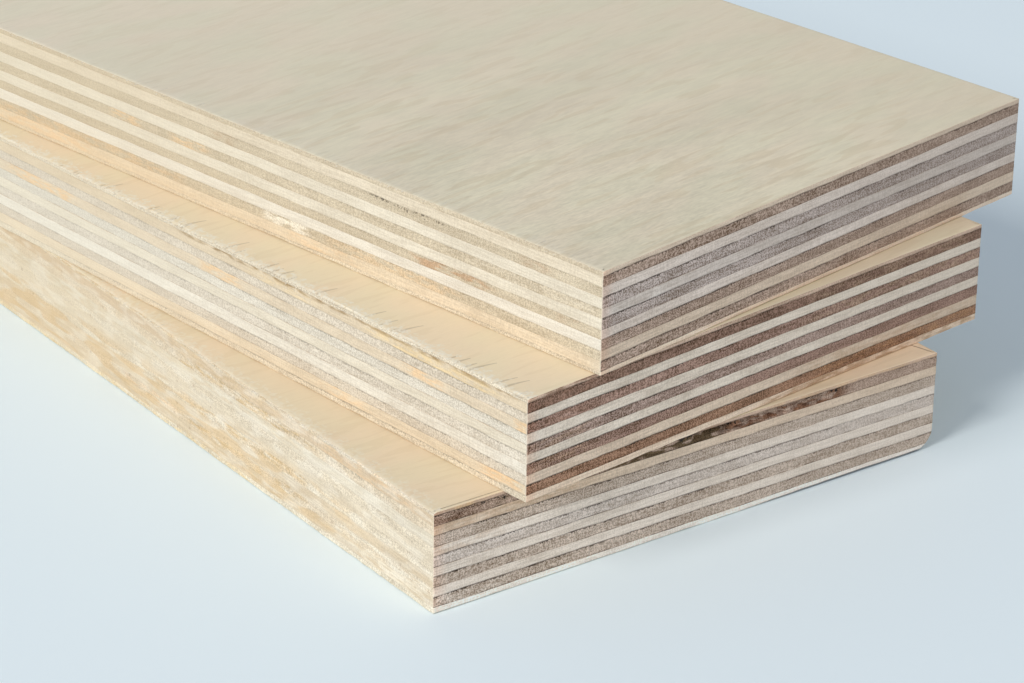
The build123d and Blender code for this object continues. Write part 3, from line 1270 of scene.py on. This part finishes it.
# %% Material for torn fibres, and dress every piece
FIBRE_TONES = linear((204, 194, 174)), linear((238, 234, 222))


def fibre_material():
    """Bleached, dry fibre, a little lighter than the face it was torn from."""
    material, tree, shader = new_material("torn_fibre")
    seen = put(tree, "ShaderNodeTexCoord", {}).outputs["Object"]
    mottle = put(tree, "ShaderNodeTexNoise", {"Vector": seen, "Scale": 1.0 / MM}).outputs[0]
    feed(tree, shader, {"Base Color": blend(tree, mottle, *FIBRE_TONES),
                        "Roughness": calc(tree, "MULTIPLY_ADD", mottle, 0.2, 0.7)})
    return material


fibre = fibre_material()
for piece in torn_edges.values():
    piece.data.materials.append(fibre)
for sheet in sheets.values():
    face_side, back_side = sanded_material(sheet, "face"), sanded_material(sheet, "back")
    glued = {1: glued_material(sheet, 1), 0: glued_material(sheet, 2)}
    for ply in range(1, PLIES + 1):
        flat = {1: face_side, PLIES: back_side}.get(ply, glued[ply % 2])
        for material in (flat, sawn_material(sheet, ply, END_WALL),
                         sawn_material(sheet, ply, SIDE_WALL)):
            veneers[sheet.name, ply].data.materials.append(material)
print("materials:", len(bpy.data.materials))

# %% [markdown]
# ## The floor
#
# The stack lies on a smooth white board. One large plane is enough for it. It lies a
# fiftieth of a millimetre below the stack, so that the two surfaces never fight for the same
# place, and it keeps the stack's shadow.

# %% Floor
FLOOR_SIZE = 6.0
FLOOR_DROP = 0.02 * MM
FLOOR_COLOUR = (0.835, 0.94, 0.98, 1.0)


def floor_material():
    """Smooth white laminate with a faint cool tint."""
    material, tree, shader = new_material("white_floor")
    feed(tree, shader, {"Base Color": FLOOR_COLOUR, "Roughness": 0.6, "Specular IOR Level": 0.2})
    return material


def lay_floor():
    """One large plane just under the stack."""
    work = bmesh.new()
    bmesh.ops.create_grid(work, x_segments=1, y_segments=1, size=FLOOR_SIZE / 2)
    bmesh.ops.translate(work, vec=(0.0, 0.0, -FLOOR_DROP), verts=work.verts)
    floor = piece_from(work, "floor")
    floor.data.materials.append(floor_material())


lay_floor()
print("floor:", FLOOR_SIZE, "m wide")

# %% [markdown]
# ## Sky and lamps
#
# A cool sky of even light, a large lamp on the left and a weaker one in front. Both hang far
# off, so their light hardly changes from one end of the stack to the other. The left lamp
# gives the long sawn sides their bright, warm face and leaves the sawn ends in soft shade,
# which is what makes the layers read. The front lamp opens that shade a little. The Light
# Path node shows the camera and the reflections a pale backdrop and gives the wood the sky's
# light, so the backdrop can be pale without more light on the stack.

# %% Sky and lamps
SKY_LIGHT = (0.91, 0.98, 1.12, 1.0)
SKY_STRENGTH = 0.37
BACKDROP = (0.70, 0.80, 0.84, 1.0)
LAMP_DISTANCE = 5.0


def light_sky():
    """Even light for the wood, and a plain pale backdrop for the camera and reflections."""
    world = bpy.data.worlds.new("sky")
    bpy.context.scene.world = world
    world.use_nodes = True
    tree = world.node_tree
    tree.nodes.clear()
    values = {"Color": SKY_LIGHT, "Strength": SKY_STRENGTH}
    light = put(tree, "ShaderNodeBackground", values).outputs[0]
    pale = put(tree, "ShaderNodeBackground", {"Color": BACKDROP}).outputs[0]
    path = put(tree, "ShaderNodeLightPath", {}).outputs
    is_seen = calc(tree, "MAXIMUM", path["Is Camera Ray"], path["Is Glossy Ray"])
    is_seen = calc(tree, "MAXIMUM", is_seen, path["Is Transmission Ray"])
    chosen = put(tree, "ShaderNodeMixShader", {0: is_seen, 1: light, 2: pale}).outputs[0]
    put(tree, "ShaderNodeOutputWorld", {"Surface": chosen})


def hang_lamp(name, towards, size, level, colour):
    """A square lamp aimed at the stack. level is how brightly a white card facing it shows."""
    towards = Vector(towards).normalized()
    data = bpy.data.lights.new(name, "AREA")
    data.shape = "SQUARE"
    data.size = size
    data.energy = level * (math.pi * LAMP_DISTANCE) ** 2
    data.color = colour
    lamp = bpy.data.objects.new(name, data)
    bpy.context.scene.collection.objects.link(lamp)
    lamp.location = towards * LAMP_DISTANCE
    lamp.rotation_euler = towards.to_track_quat("Z", "Y").to_euler()
    print(f"{name}: {data.energy:.1f} W, {size} m wide, {LAMP_DISTANCE} m away")


light_sky()
hang_lamp("left_lamp", towards=(0.15, -0.815, 0.56), size=1.9, level=0.71,
          colour=(1.0, 0.965, 0.92))
hang_lamp("front_lamp", towards=(0.90, -0.05, 0.43), size=2.6, level=0.14,
          colour=(0.98, 0.98, 1.0))
bpy.context.scene.view_settings.view_transform = "Standard"
